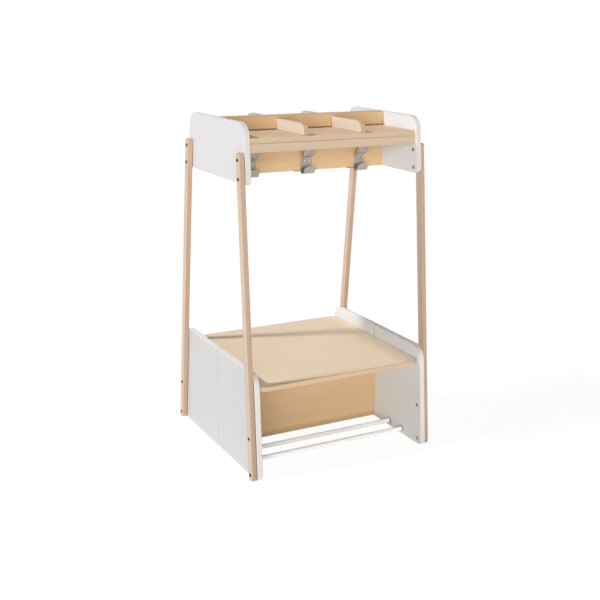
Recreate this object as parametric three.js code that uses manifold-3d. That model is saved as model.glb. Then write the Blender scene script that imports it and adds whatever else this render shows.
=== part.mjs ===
// Double-sided coat rack bench for children, in millimetres, +Z up.
// The origin lies on the floor under the middle. The front is -Y and the left is -X.
// Front and rear are alike: each rear piece is its front piece turned half a turn about Z.
import * as THREE from "three";
import { mergeVertices } from "three/addons/utils/BufferGeometryUtils.js";
import Module from "manifold-3d";

// Driving dimensions of the whole bench
const overallHeight = 1200;
const panelSpan = 684; // over the outer faces of the white side panels
const floorDepth = 680; // of the side panels, at the floor
const lean = 5.23; // degrees that legs and panel edges lean inwards

// Gaps between pieces
const jointGap = 0.3; // where two pieces meet
const seamGap = 1.2; // between the two halves of a bench side
const holeClearance = 0.3; // round a bolt, screw or rail, on the radius
const cutOverrun = 2;

// Bench: side panels in two halves, seat, centre boards, shoe rails
const benchSideHeight = 372;
const benchPanelThickness = 19;
const benchTopRadius = 50;
const benchFootRadius = 18;
const seatHeight = 325;
const seatThickness = 18;
const seatOverhang = 1; // past the slanting front edge of the side panels
const seatCornerRadius = 35;
const centreBoardThickness = 18;
const centreBoardFloorGap = 4;
const railDiameter = 16;
const railWall = 1.5;
const railHeight = 21; // of its axis
const outerRailOffset = 210; // from the middle of the bench
const innerRailOffset = 126;
const railSocketDepth = 8;
const collarDiameter = 24;
const collarThickness = 4;

// Upper unit: end panels, centre board, shelves with a rail under their edge, dividers
const endPanelHeight = 200;
const endPanelThickness = 19;
const endPanelTopRadius = 50;
const endPanelFootRadius = 18;
const upperBoardThickness = 36;
const shelfDrop = 50; // from the top of the centre board to the shelf
const shelfThickness = 18;
const shelfSetback = 8; // behind the slanting edge of the end panels
const edgeRailHeight = 30;
const edgeRailThickness = 18;
const compartmentCount = 3;
const dividerThickness = 18;
const dividerHeight = 40;
const dividerSetback = 2; // behind the edge of the shelf
const dividerCornerRadius = 32;

// Legs, outside the panels
const legWidth = 30;
const legThickness = 18;
const legSetback = 6.5; // behind the slanting edge of the panels
const legTopReach = 23; // from the highest bolt to the top of the leg
const legEndRadius = 10;

// Bolts through leg and panel
const boltShankDiameter = 6;
const boltHeadDiameter = 11;
const boltHeadHeight = 2.6;
const boltSocketWidth = 4; // across flats
const boltSocketDepth = 1.6;
const boltCapDiameter = 11;
const boltCapHeight = 1.8;
// Radius and height of the domed end of a head or cap, from its middle to its rim
const domeShares = [
  [0, 1],
  [0.7, 1],
  [1, 0.5],
  [1, 0],
];
const boltFoot = 21; // height of the lowest bolt over the floor
const benchBoltPitch = 127;
const endPanelBoltRise = 19; // over the lower edge of the end panel
const endPanelBoltPitch = 62;

// Coat hooks bent from a strip
const hookWidth = 44;
const hookSheet = 3;
const hookBendRadius = 7;
const hookDrop = 10; // lowest point under the centre board
const hookBackHeight = 56;
const lowerArmReach = 22;
const lowerTipReach = 42;
const lowerTipRise = 31;
const upperArmReach = 20;
const upperArmRise = 11;
const upperTipReach = 40;
const upperTipRise = 42;
const hookTipChamferWidth = 17;
const hookTipChamferHeight = 10;
const screwSpacing = 19;
const screwRise = 46; // over the lowest point of the hook
const screwHeadDiameter = 10;
const screwHeadHeight = 2.5;
const screwShankDiameter = 4;
const screwLength = 16;
const screwTipLength = 3;
const screwSlotWidth = 1.2;
const screwSlotLength = 5.6;
const screwSlotDepth = 1.1;
// Radius and height of the screw's pan head, from its middle to its rim
const panHeadShares = [
  [0, 1],
  [0.6, 1],
  [0.92, 0.6],
  [1, 0],
];

// Rounded edges of the boards
const panelEdgeRadius = 1.5;
const seatEdgeRadius = 4;
const boardEdgeRadius = 1;
const legEdgeRadius = 2;

// How finely curves are divided
const arcSegments = 4;
const seatEdgeSegments = 2;
const turnedSegments = 16;
const boltSegments = 12;
const hexagonSides = 6;
const bendSegments = 4;

const beech = (colour) => new THREE.MeshStandardMaterial({ color: colour, roughness: 0.55, metalness: 0 });
const finishes = {
  white: new THREE.MeshStandardMaterial({ color: 0xeceae6, roughness: 0.45, metalness: 0 }),
  seat: beech(0xe5cfb4),
  board: beech(0xcfae83),
  shelf: beech(0xd8bf9c),
  leg: beech(0xe0c6aa),
  hook: new THREE.MeshStandardMaterial({ color: 0x9f9b98, roughness: 0.4, metalness: 0.85 }),
  screw: new THREE.MeshStandardMaterial({ color: 0xb9b9b9, roughness: 0.3, metalness: 1 }),
  bolt: new THREE.MeshStandardMaterial({ color: 0x4c4743, roughness: 0.4, metalness: 0.8 }),
  rail: new THREE.MeshStandardMaterial({ color: 0xe6e5e1, roughness: 0.35, metalness: 0 }),
};

// Sizes that follow from the ones above
const leaning = THREE.MathUtils.degToRad(lean);
const slope = Math.tan(leaning);
const outerX = panelSpan / 2;
const benchInnerX = outerX - benchPanelThickness;
const upperInnerX = outerX - endPanelThickness;
const endPanelFoot = overallHeight - endPanelHeight;
const shelfTop = overallHeight - shelfDrop;
const shelfUnder = shelfTop - shelfThickness;
const slantY = (z) => floorDepth / 2 - z * slope;
const legAcross = legWidth / Math.cos(leaning);
const legCentreY = (z) => slantY(z) - legSetback - legAcross / 2;
// A leaning leg stands on the arc of its inner corner, with the middle of its foot above it.
const legFootLift =
  (legWidth / 2 - legEndRadius) * Math.sin(leaning) + legEndRadius * (1 - Math.cos(leaning));
const shelfReach = slantY(shelfTop) - shelfSetback;
const seatReach = slantY(seatHeight) + seatOverhang;
const compartmentWidth =
  (2 * upperInnerX - (compartmentCount - 1) * dividerThickness) / compartmentCount;
const compartmentPitch = compartmentWidth + dividerThickness;
const compartmentX = (i) => (i - (compartmentCount - 1) / 2) * compartmentPitch;
const hookFoot = endPanelFoot - hookDrop;
const screwHeight = hookFoot + screwRise;
const benchBoltHeights = [boltFoot, boltFoot + benchBoltPitch];
const lowerPanelBolt = endPanelFoot + endPanelBoltRise;
const endPanelBoltHeights = [lowerPanelBolt, lowerPanelBolt + endPanelBoltPitch];
const boltHeights = [...benchBoltHeights, ...endPanelBoltHeights];
const legTopHeight = Math.max(...boltHeights) + legTopReach;
const railOffsets = { outer: outerRailOffset, inner: innerRailOffset };

// Front and rear share every shape. A rear group is turned, so its left and right swap.
const ends = [
  { name: "front", turn: 0, facing: 1 },
  { name: "rear", turn: Math.PI, facing: -1 },
];
const sideName = (side, end) => (side * end.facing < 0 ? "left" : "right");

const wasm = await Module();
wasm.setup();

function toSolid(geometry) {
  const bare = geometry.index ? geometry.toNonIndexed() : geometry.clone();
  bare.deleteAttribute("normal");
  bare.deleteAttribute("uv");
  const merged = mergeVertices(bare);
  const mesh = new wasm.Mesh({
    numProp: 3,
    vertProperties: new Float32Array(merged.attributes.position.array),
    triVerts: new Uint32Array(merged.index.array),
  });
  return new wasm.Manifold(mesh);
}

function toGeometry(solid) {
  const mesh = solid.getMesh();
  const geometry = new THREE.BufferGeometry();
  geometry.setAttribute("position", new THREE.BufferAttribute(mesh.vertProperties, 3));
  geometry.setIndex(new THREE.BufferAttribute(mesh.triVerts, 1));
  const faceted = geometry.toNonIndexed();
  faceted.computeVertexNormals();
  return faceted;
}

function cut(geometry, cutters) {
  let solid = toSolid(geometry);
  for (const cutter of cutters) {
    solid = solid.subtract(toSolid(cutter));
  }
  return toGeometry(solid);
}

function join(geometries) {
  const [first, ...others] = geometries.map(toSolid);
  return toGeometry(others.reduce((whole, solid) => whole.add(solid), first));
}

// A closed outline through corners [x, y, radius], each rounded by its radius.
function roundedOutline(corners) {
  const shape = new THREE.Shape();
  const count = corners.length;
  corners.forEach(([x, y, radius = 0], i) => {
    const corner = new THREE.Vector2(x, y);
    const before = new THREE.Vector2(...corners[(i + count - 1) % count]).sub(corner).normalize();
    const after = new THREE.Vector2(...corners[(i + 1) % count]).sub(corner).normalize();
    const half = Math.acos(before.dot(after)) / 2;
    const reach = radius / Math.tan(half);
    const start = corner.clone().addScaledVector(before, reach);
    if (i === 0) {
      shape.moveTo(start.x, start.y);
    } else {
      shape.lineTo(start.x, start.y);
    }
    if (radius === 0) {
      return;
    }
    const middle = before.clone().add(after).normalize();
    const centre = corner.clone().addScaledVector(middle, radius / Math.sin(half));
    const stop = corner.clone().addScaledVector(after, reach);
    const from = start.clone().sub(centre).angle();
    const to = stop.clone().sub(centre).angle();
    const clockwise = before.cross(after) > 0;
    shape.absarc(centre.x, centre.y, radius, from, to, clockwise);
  });
  shape.closePath();
  return shape;
}

function rectangle(x0, y0, x1, y1, radius = 0) {
  return roundedOutline([
    [x0, y0, radius],
    [x1, y0, radius],
    [x1, y1, radius],
    [x0, y1, radius],
  ]);
}

// A board of the outline, with its long edges rounded, between heights 0 and thickness.
function board(outline, thickness, edgeRadius, edgeSegments = 1) {
  const geometry = new THREE.ExtrudeGeometry(outline, {
    depth: thickness - 2 * edgeRadius,
    bevelThickness: edgeRadius,
    bevelSize: edgeRadius,
    bevelOffset: -edgeRadius,
    bevelSegments: edgeSegments,
    curveSegments: arcSegments,
  });
  return geometry.translate(0, 0, edgeRadius);
}

const axisX = new THREE.Vector3(1, 0, 0);
const axisY = new THREE.Vector3(0, 1, 0);
const axisZ = new THREE.Vector3(0, 0, 1);
// Outlines drawn in Y and Z, with their thickness along X.
const acrossX = new THREE.Matrix4().makeBasis(axisY, axisZ, axisX);
// Outlines drawn in Z and X, with their thickness along Y.
const acrossY = new THREE.Matrix4().makeBasis(axisZ, axisX, axisY);

function rodAlongX(radius, x0, x1, y, z, segments) {
  const rod = new THREE.CylinderGeometry(radius, radius, x1 - x0, segments);
  return rod.rotateZ(Math.PI / 2).translate((x0 + x1) / 2, y, z);
}

function rodAlongY(radius, y0, y1, x, z, segments) {
  const rod = new THREE.CylinderGeometry(radius, radius, y1 - y0, segments);
  return rod.translate(x, (y0 + y1) / 2, z);
}

function node(name, geometry, material) {
  const mesh = new THREE.Mesh(geometry, material);
  mesh.name = name;
  return mesh;
}

// Holes for the bolts of one leg, through a panel that lies between x0 and x1.
function boltHoles(heights, x0, x1, facing) {
  return heights.map((z) =>
    rodAlongX(
      boltShankDiameter / 2 + holeClearance,
      x0 - cutOverrun,
      x1 + cutOverrun,
      facing * legCentreY(z),
      z,
      boltSegments,
    ),
  );
}

// Front half of a bench side, with blind sockets for the shoe rails in its inner face.
function benchSide(side) {
  const outline = roundedOutline([
    [-slantY(0), 0, benchFootRadius],
    [-seamGap / 2, 0],
    [-seamGap / 2, benchSideHeight],
    [-slantY(benchSideHeight), benchSideHeight, benchTopRadius],
  ]);
  const x0 = side < 0 ? -outerX : benchInnerX;
  const panel = board(outline, benchPanelThickness, panelEdgeRadius).applyMatrix4(acrossX);
  panel.translate(x0, 0, 0);
  const holes = boltHoles(benchBoltHeights, x0, x0 + benchPanelThickness, -1);
  const inner = side * (benchInnerX - cutOverrun);
  const bottom = side * (benchInnerX + railSocketDepth + jointGap);
  const sockets = Object.values(railOffsets).map((offset) =>
    rodAlongX(
      railDiameter / 2 + holeClearance,
      Math.min(inner, bottom),
      Math.max(inner, bottom),
      -offset,
      railHeight,
      turnedSegments,
    ),
  );
  return cut(panel, [...holes, ...sockets]);
}

// One board under the seat. Two of them stand back to back in the middle.
function benchCentreBoard() {
  const x = benchInnerX - jointGap;
  const top = seatHeight - seatThickness - jointGap;
  const outline = rectangle(centreBoardFloorGap, -x, top, x);
  const panel = board(outline, centreBoardThickness, boardEdgeRadius).applyMatrix4(acrossY);
  return panel.translate(0, -centreBoardThickness - jointGap / 2, 0);
}

function seatBoard() {
  const x = benchInnerX - jointGap;
  const outline = rectangle(-x, -seatReach, x, seatReach, seatCornerRadius);
  const panel = board(outline, seatThickness, seatEdgeRadius, seatEdgeSegments);
  return panel.translate(0, 0, seatHeight - seatThickness);
}

// A steel tube with a collar against each side panel, turned about its axis.
function shoeRail(offset) {
  const tip = benchInnerX + railSocketDepth;
  const face = benchInnerX - jointGap;
  const collar = face - collarThickness;
  const outer = railDiameter / 2;
  const profile = [
    [outer - railWall, -tip],
    [outer, -tip],
    [outer, -face],
    [collarDiameter / 2, -face],
    [collarDiameter / 2, -collar],
    [outer, -collar],
    [outer, collar],
    [collarDiameter / 2, collar],
    [collarDiameter / 2, face],
    [outer, face],
    [outer, tip],
    [outer - railWall, tip],
    [outer - railWall, -tip],
  ].map(([radius, along]) => new THREE.Vector2(radius, along));
  const rail = new THREE.LatheGeometry(profile, turnedSegments);
  return rail.rotateZ(-Math.PI / 2).translate(0, -offset, railHeight);
}

function endPanel(side) {
  const top = slantY(overallHeight);
  const foot = slantY(endPanelFoot);
  const outline = roundedOutline([
    [-foot, endPanelFoot, endPanelFootRadius],
    [foot, endPanelFoot, endPanelFootRadius],
    [top, overallHeight, endPanelTopRadius],
    [-top, overallHeight, endPanelTopRadius],
  ]);
  const x0 = side < 0 ? -outerX : upperInnerX;
  const panel = board(outline, endPanelThickness, panelEdgeRadius).applyMatrix4(acrossX);
  panel.translate(x0, 0, 0);
  const holes = ends.flatMap((end) =>
    boltHoles(endPanelBoltHeights, x0, x0 + endPanelThickness, end.facing),
  );
  return cut(panel, holes);
}

const screwPlaces = Array.from({ length: compartmentCount }, (_, i) =>
  [-1, 1].map((side) => compartmentX(i) + (side * screwSpacing) / 2),
);

// The board that carries the hooks, with a pilot hole for each screw in both faces.
function upperCentreBoard() {
  const x = upperInnerX - jointGap;
  const outline = rectangle(endPanelFoot, -x, overallHeight, x);
  const panel = board(outline, upperBoardThickness, boardEdgeRadius).applyMatrix4(acrossY);
  panel.translate(0, -upperBoardThickness / 2, 0);
  const radius = screwShankDiameter / 2 + holeClearance;
  const depth = screwLength - hookSheet + jointGap;
  const face = upperBoardThickness / 2;
  const holes = screwPlaces.flat().flatMap((place) => [
    rodAlongY(radius, -face - cutOverrun, -face + depth, place, screwHeight, boltSegments),
    rodAlongY(radius, face - depth, face + cutOverrun, place, screwHeight, boltSegments),
  ]);
  return cut(panel, holes);
}

function shelf() {
  const x = upperInnerX - jointGap;
  const back = upperBoardThickness / 2 + jointGap;
  const outline = rectangle(-x, -shelfReach, x, -back);
  const panel = board(outline, shelfThickness, boardEdgeRadius);
  return panel.translate(0, 0, shelfUnder);
}

// The rail that stiffens the front edge of a shelf, flush with it.
function edgeRail() {
  const x = upperInnerX - jointGap;
  const top = shelfUnder - jointGap;
  const outline = rectangle(top - edgeRailHeight, -x, top, x);
  const rail = board(outline, edgeRailThickness, boardEdgeRadius).applyMatrix4(acrossY);
  return rail.translate(0, -shelfReach, 0);
}

function divider() {
  const back = -upperBoardThickness / 2 - jointGap;
  const front = -shelfReach + dividerSetback;
  const foot = shelfTop + jointGap;
  const top = foot + dividerHeight;
  const outline = roundedOutline([
    [front, foot],
    [back, foot],
    [back, top],
    [front, top, dividerCornerRadius],
  ]);
  const panel = board(outline, dividerThickness, boardEdgeRadius).applyMatrix4(acrossX);
  return panel.translate(-dividerThickness / 2, 0, 0);
}

// A leg stands upright here, on the middle of its foot. It is leaned when it is placed.
function leg() {
  const length = (legTopHeight - 2 * legFootLift) / Math.cos(leaning);
  const half = legWidth / 2;
  const outline = rectangle(-half, 0, half, length, legEndRadius);
  const slat = board(outline, legThickness, legEdgeRadius).applyMatrix4(acrossX);
  slat.translate(-legThickness / 2, 0, 0);
  const holes = boltHeights.map((z) =>
    rodAlongX(
      boltShankDiameter / 2 + holeClearance,
      -legThickness / 2 - cutOverrun,
      legThickness / 2 + cutOverrun,
      0,
      (z - legFootLift) / Math.cos(leaning),
      boltSegments,
    ),
  );
  return cut(slat, holes);
}

// A socket-head bolt through leg and panel, drawn with the cap of its sleeve nut.
// It lies along X, from its head at negative X to its cap at positive X.
function bolt(panelThickness) {
  const shank = boltShankDiameter / 2;
  const head = boltHeadDiameter / 2;
  const cap = boltCapDiameter / 2;
  const headFoot = -legThickness - 2 * jointGap;
  const capFoot = panelThickness + jointGap;
  const headEnd = domeShares.map(([across, high]) => [
    head * across,
    headFoot - boltHeadHeight * high,
  ]);
  const capEnd = domeShares.map(([across, high]) => [cap * across, capFoot + boltCapHeight * high]);
  const profile = [...headEnd, [shank, headFoot], [shank, capFoot], ...capEnd.reverse()].map(
    ([radius, along]) => new THREE.Vector2(radius, along),
  );
  const turned = new THREE.LatheGeometry(profile, boltSegments);
  const socket = new THREE.CylinderGeometry(
    boltSocketWidth / Math.sqrt(3),
    boltSocketWidth / Math.sqrt(3),
    boltSocketDepth + cutOverrun,
    hexagonSides,
  );
  const mouth = headFoot - boltHeadHeight;
  socket.translate(0, mouth + (boltSocketDepth - cutOverrun) / 2, 0);
  return cut(turned, [socket]).rotateZ(-Math.PI / 2);
}

// The outline of a strip whose middle line runs through the points, bent with one radius.
function stripOutline(points, radius, thickness) {
  const path = [];
  points.forEach(([x, y], i) => {
    const corner = new THREE.Vector2(x, y);
    if (i === 0 || i === points.length - 1) {
      path.push(corner);
      return;
    }
    const before = new THREE.Vector2(...points[i - 1]).sub(corner).normalize();
    const after = new THREE.Vector2(...points[i + 1]).sub(corner).normalize();
    const half = Math.acos(before.dot(after)) / 2;
    const middle = before.clone().add(after).normalize();
    const centre = corner.clone().addScaledVector(middle, radius / Math.sin(half));
    const start = corner.clone().addScaledVector(before, radius / Math.tan(half)).sub(centre);
    const turn = (Math.PI - 2 * half) * Math.sign(after.cross(before));
    for (let step = 0; step <= bendSegments; step += 1) {
      const spoke = start.clone().rotateAround(new THREE.Vector2(), (turn * step) / bendSegments);
      path.push(centre.clone().add(spoke));
    }
  });
  const side = (sign) =>
    path.map((point, i) => {
      const along = path[Math.min(i + 1, path.length - 1)].clone().sub(path[Math.max(i - 1, 0)]);
      const normal = new THREE.Vector2(-along.y, along.x).normalize();
      return point.clone().addScaledVector(normal, (sign * thickness) / 2);
    });
  return new THREE.Shape([...side(1), ...side(-1).reverse()]);
}

// A coat hook: a back plate with a lower arm that turns up and an upper arm that leans out.
// Its back lies at Y = 0, and it reaches towards -Y. Its lowest point is at Z = 0.
function hook() {
  const back = -hookSheet / 2;
  const low = hookSheet / 2;
  const outline = stripOutline(
    [
      [-lowerTipReach + hookSheet / 2, lowerTipRise],
      [-lowerArmReach, low],
      [back, low],
      [back, hookBackHeight],
      [-upperArmReach, hookBackHeight + upperArmRise],
      [-upperTipReach + hookSheet / 2, hookBackHeight + upperTipRise],
    ],
    hookBendRadius,
    hookSheet,
  );
  const strip = new THREE.ExtrudeGeometry(outline, { depth: hookWidth, bevelEnabled: false });
  strip.applyMatrix4(acrossX).translate(-hookWidth / 2, 0, 0);
  const reach = Math.max(lowerTipReach, upperTipReach) + cutOverrun;
  const corners = [-1, 1].flatMap((side) => [
    tipCorner(side, lowerTipRise, reach, -lowerArmReach),
    tipCorner(side, hookBackHeight + upperTipRise, reach, -upperArmReach),
  ]);
  const holes = [-1, 1].map((side) =>
    rodAlongY(
      screwShankDiameter / 2 + holeClearance,
      -hookSheet - cutOverrun,
      cutOverrun,
      (side * screwSpacing) / 2,
      screwRise,
      boltSegments,
    ),
  );
  return cut(strip, [...corners, ...holes]);
}

// A wedge that takes one corner off the tip of a hook's arm.
function tipCorner(side, tipHeight, reach, start) {
  const edge = (side * hookWidth) / 2;
  const steepness = hookTipChamferWidth / hookTipChamferHeight;
  const past = side * cutOverrun * steepness;
  const over = hookSheet + cutOverrun;
  const outline = new THREE.Shape([
    new THREE.Vector2(tipHeight - hookTipChamferHeight - cutOverrun, edge + past),
    new THREE.Vector2(tipHeight + over, edge + past),
    new THREE.Vector2(tipHeight + over, edge - side * (hookTipChamferWidth + over * steepness)),
  ]);
  const wedge = new THREE.ExtrudeGeometry(outline, { depth: reach + start, bevelEnabled: false });
  return wedge.applyMatrix4(acrossY).translate(0, -reach, 0);
}

// A pan-head screw along Y, with its head's underside at Y = 0 and its tip at positive Y.
function hookScrew() {
  const head = screwHeadDiameter / 2;
  const shank = screwShankDiameter / 2;
  const profile = [
    ...panHeadShares.map(([across, high]) => [head * across, -screwHeadHeight * high]),
    [shank, 0],
    [shank, screwLength - screwTipLength],
    [0, screwLength],
  ].map(([radius, along]) => new THREE.Vector2(radius, along));
  const turned = new THREE.LatheGeometry(profile, boltSegments);
  const deep = screwSlotDepth + cutOverrun;
  const slots = [
    new THREE.BoxGeometry(screwSlotLength, deep, screwSlotWidth),
    new THREE.BoxGeometry(screwSlotWidth, deep, screwSlotLength),
  ];
  slots.forEach((slot) => slot.translate(0, -screwHeadHeight + screwSlotDepth - deep / 2, 0));
  return cut(turned, [join(slots)]);
}

function benchHalf(end) {
  const half = new THREE.Group();
  for (const side of [-1, 1]) {
    const name = `bench_side_${end.name}_${sideName(side, end)}`;
    half.add(node(name, benchSide(side), finishes.white));
  }
  half.add(node(`bench_centre_board_${end.name}`, benchCentreBoard(), finishes.board));
  for (const [place, offset] of Object.entries(railOffsets)) {
    half.add(node(`shoe_rail_${end.name}_${place}`, shoeRail(offset), finishes.rail));
  }
  half.rotation.z = end.turn;
  return half;
}

function upperHalf(end) {
  const half = new THREE.Group();
  half.add(node(`shelf_${end.name}`, shelf(), finishes.shelf));
  half.add(node(`shelf_edge_rail_${end.name}`, edgeRail(), finishes.shelf));
  for (let i = 0; i < compartmentCount - 1; i += 1) {
    const x = compartmentX(i) + compartmentPitch / 2;
    const mesh = node(`divider_${end.name}_${i + 1}`, divider(), finishes.shelf);
    mesh.position.x = x;
    half.add(mesh);
  }
  for (let i = 0; i < compartmentCount; i += 1) {
    half.add(...hookWithScrews(end, i));
  }
  half.rotation.z = end.turn;
  return half;
}

function hookWithScrews(end, i) {
  const face = -upperBoardThickness / 2 - jointGap;
  const strip = node(`hook_${end.name}_${i + 1}`, hook(), finishes.hook);
  strip.position.set(compartmentX(i), face, hookFoot);
  const screws = screwPlaces[i].map((x, k) => {
    const number = i * screwPlaces[i].length + k + 1;
    const screw = node(`hook_screw_${end.name}_${number}`, hookScrew(), finishes.screw);
    screw.position.set(x, face - hookSheet - jointGap, screwHeight);
    return screw;
  });
  return [strip, ...screws];
}

function legWithBolts(end, side) {
  const assembly = new THREE.Group();
  const label = `${end.name}_${sideName(side, end)}`;
  const slat = node(`leg_${label}`, leg(), finishes.leg);
  const x = side * (outerX + jointGap + legThickness / 2);
  slat.position.set(x, -legCentreY(legFootLift), legFootLift);
  slat.rotation.x = -leaning;
  assembly.add(slat);
  boltHeights.forEach((z, i) => {
    const thickness = benchBoltHeights.includes(z) ? benchPanelThickness : endPanelThickness;
    const fastener = node(`bolt_${label}_${i + 1}`, bolt(thickness), finishes.bolt);
    fastener.position.set(side * outerX, -legCentreY(z), z);
    fastener.rotation.z = side < 0 ? 0 : Math.PI;
    assembly.add(fastener);
  });
  assembly.rotation.z = end.turn;
  return assembly;
}

const coatRackBench = new THREE.Group();
coatRackBench.add(node("seat_board", seatBoard(), finishes.seat));
coatRackBench.add(node("upper_centre_board", upperCentreBoard(), finishes.board));
coatRackBench.add(node("upper_end_panel_left", endPanel(-1), finishes.white));
coatRackBench.add(node("upper_end_panel_right", endPanel(1), finishes.white));
for (const end of ends) {
  coatRackBench.add(benchHalf(end), upperHalf(end));
  for (const side of [-1, 1]) {
    coatRackBench.add(legWithBolts(end, side));
  }
}

export default coatRackBench;
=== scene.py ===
"""A double-sided cloakroom bench for children, remade piece by piece over its CAD frame.

White side panels carry a seat, shoe rails and boards under the seat. Four beech legs lean against
the panels and carry the upper unit: two end panels, a board with coat hooks on both faces, and two
shelves with dividers. Every length is in metres and every piece stands where its CAD node stands.
"""
import logging
import math
from contextlib import contextmanager
from dataclasses import dataclass
from enum import Enum
from functools import cache, reduce
from itertools import product
from typing import Callable, Iterator, Sequence

import bmesh
import bpy
from mathutils import Matrix, Vector


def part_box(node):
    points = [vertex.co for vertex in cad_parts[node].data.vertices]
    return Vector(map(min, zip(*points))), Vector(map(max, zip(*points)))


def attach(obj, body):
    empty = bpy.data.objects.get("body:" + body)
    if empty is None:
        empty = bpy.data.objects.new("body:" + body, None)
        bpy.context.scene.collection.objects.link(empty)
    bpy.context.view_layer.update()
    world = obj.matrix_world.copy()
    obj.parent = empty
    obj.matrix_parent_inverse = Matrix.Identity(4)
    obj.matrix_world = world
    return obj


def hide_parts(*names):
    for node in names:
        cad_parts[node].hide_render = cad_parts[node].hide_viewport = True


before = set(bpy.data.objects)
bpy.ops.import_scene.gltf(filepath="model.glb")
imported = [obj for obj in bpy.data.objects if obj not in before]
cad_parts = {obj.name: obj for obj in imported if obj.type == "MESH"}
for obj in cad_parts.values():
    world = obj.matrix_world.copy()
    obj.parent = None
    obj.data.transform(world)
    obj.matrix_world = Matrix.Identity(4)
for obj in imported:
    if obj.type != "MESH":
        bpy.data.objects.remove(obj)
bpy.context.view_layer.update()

log = logging.getLogger("coat_rack_bench")

Chip = tuple[int, int, int]
Span = tuple[float, float]
Profile = Sequence[Span]
Rule = Callable[..., bool]
Socket = bpy.types.NodeSocket
Feed = Socket | float | Sequence[float]
Paint = Socket | Chip

ALIGNED = 0.999  # least cosine between two directions that count as one
NEAR = 0.0005  # how close a corner or face must be to be the one that is meant
EASED = math.radians(35.0)  # least angle of an edge that is eased
BROAD = 0.9  # a broad face has at least this share of the largest face's area
CLEAR = 0.002  # how far a cutting tool stands out of the piece
SOFT = 30.0  # widest angle, in degrees, that is shaded smoothly on turned and bent pieces
PURE = (1.0, 1.0, 1.0, 1.0)  # white light


class Axis(Enum):
    """A direction of the bench: along its width, its depth or its height."""

    X = Vector((1, 0, 0))
    Y = Vector((0, 1, 0))
    Z = Vector((0, 0, 1))


class End(Enum):
    """The two halves of the bench. The rear one is the front one, turned half a turn."""

    FRONT = "front"
    REAR = "rear"

    @property
    def turn(self) -> Matrix:
        """The turn that takes a front piece to this half."""
        return Matrix.Rotation(0.0 if self is End.FRONT else math.pi, 4, "Z")


class Hand(Enum):
    """The two sides of the bench, as seen from the front."""

    LEFT = -1
    RIGHT = 1

    def label(self, end: End) -> str:
        """The side's name once a piece that was made in front stands at that end."""
        left = (self is Hand.LEFT) == (end is End.FRONT)
        return "left" if left else "right"


class Element(Enum):
    """What a mesh is made of, by the name of the list that a bmesh keeps of it."""

    VERT = "verts"
    EDGE = "edges"
    FACE = "faces"


class Stock(Enum):
    """The first board of the stack that pieces of one kind are cut from."""

    SEAT = 1
    CENTRE_BOARD = 2
    MIDDLE_BOARD = 5
    SHELF = 7
    EDGE_RAIL = 9
    DIVIDER = 11
    LEG = 21


class Pattern(Enum):
    """Cloudy noise: clouds in a metre each way, how many finer layers, how strong these are."""

    WOOD_SWAY = ((1.3, 5.0, 5.0), 2.0, 0.5)
    WOOD_BANDS = ((0.9, 30.0, 30.0), 5.0, 0.6)
    WOOD_CLOUDS = ((2.2, 6.0, 6.0), 2.0, 0.5)
    WOOD_PORES = ((16.0, 640.0, 640.0), 3.0, 0.6)
    WOOD_RAYS = ((330.0, 2400.0, 2400.0), 1.0, 0.5)
    LACQUER_FLOW = ((9.0, 60.0, 60.0), 3.0, 0.5)
    BOARD_CLOUDS = ((3.0, 3.0, 3.0), 3.0, 0.5)
    BOARD_SCUFFS = ((60.0, 60.0, 22.0), 4.0, 0.7)
    BOARD_PRINT = ((900.0, 900.0, 900.0), 2.0, 0.5)
    BOARD_SHEEN = ((26.0, 26.0, 26.0), 3.0, 0.5)
    COAT_SPECKS = ((2600.0, 2600.0, 2600.0), 2.0, 0.5)
    COAT_CLOUDS = ((38.0, 38.0, 38.0), 4.0, 0.6)
    PLATE_MARKS = ((1500.0, 1500.0, 1500.0), 3.0, 0.5)
    PLATE_CLOUDS = ((420.0, 420.0, 420.0), 2.0, 0.5)
    ENAMEL_RIPPLE = ((240.0, 240.0, 240.0), 2.0, 0.5)
    ENAMEL_SCUFFS = ((26.0, 150.0, 150.0), 4.0, 0.65)


@dataclass(frozen=True)
class Layout:
    """The lines that all pieces are set out from.

    Args:
        half_span: from the middle to the outer face of a side panel.
        half_depth: from the middle to the slanting edge of a side panel, at the floor.
        slope: how far that edge comes in for each metre of height.
        joint: the gap where two pieces meet.
        panel: thickness of the white panels.
        top: height of the whole bench.
        end_foot: height of the lower edge of the end panels.
        side_height: height of the side panels.
        leg_setback: of a leg's outer edge behind the slanting edge.
        leg_top: height of a leg's upper end.
    """

    half_span: float = 0.342
    half_depth: float = 0.340
    slope: float = math.tan(math.radians(5.23))
    joint: float = 0.0003
    panel: float = 0.019
    top: float = 1.2
    end_foot: float = 1.0
    side_height: float = 0.372
    leg_setback: float = 0.0065
    leg_top: float = 1.104

    @property
    def lean(self) -> float:
        """The angle of the slanting edges, in radians."""
        return math.atan(self.slope)

    @property
    def inside(self) -> float:
        """From the middle to the end of a board between the panels."""
        return self.half_span - self.panel - self.joint

    def slant(self, height: float) -> float:
        """Where the slanting edge stands at a height, from the middle."""
        return self.half_depth - height * self.slope


LAYOUT = Layout()


def linear(chip: Chip) -> tuple[float, ...]:
    """Turns a paint chip of 0 to 255 into the light that a shader works with.

    Args:
        chip: red, green and blue as a screen shows them.

    Returns:
        The linear colour with its alpha.
    """
    parts = [c / 255 for c in chip]
    return (*[p / 12.92 if p <= 0.04045 else ((p + 0.055) / 1.055) ** 2.4 for p in parts], 1.0)


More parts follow.
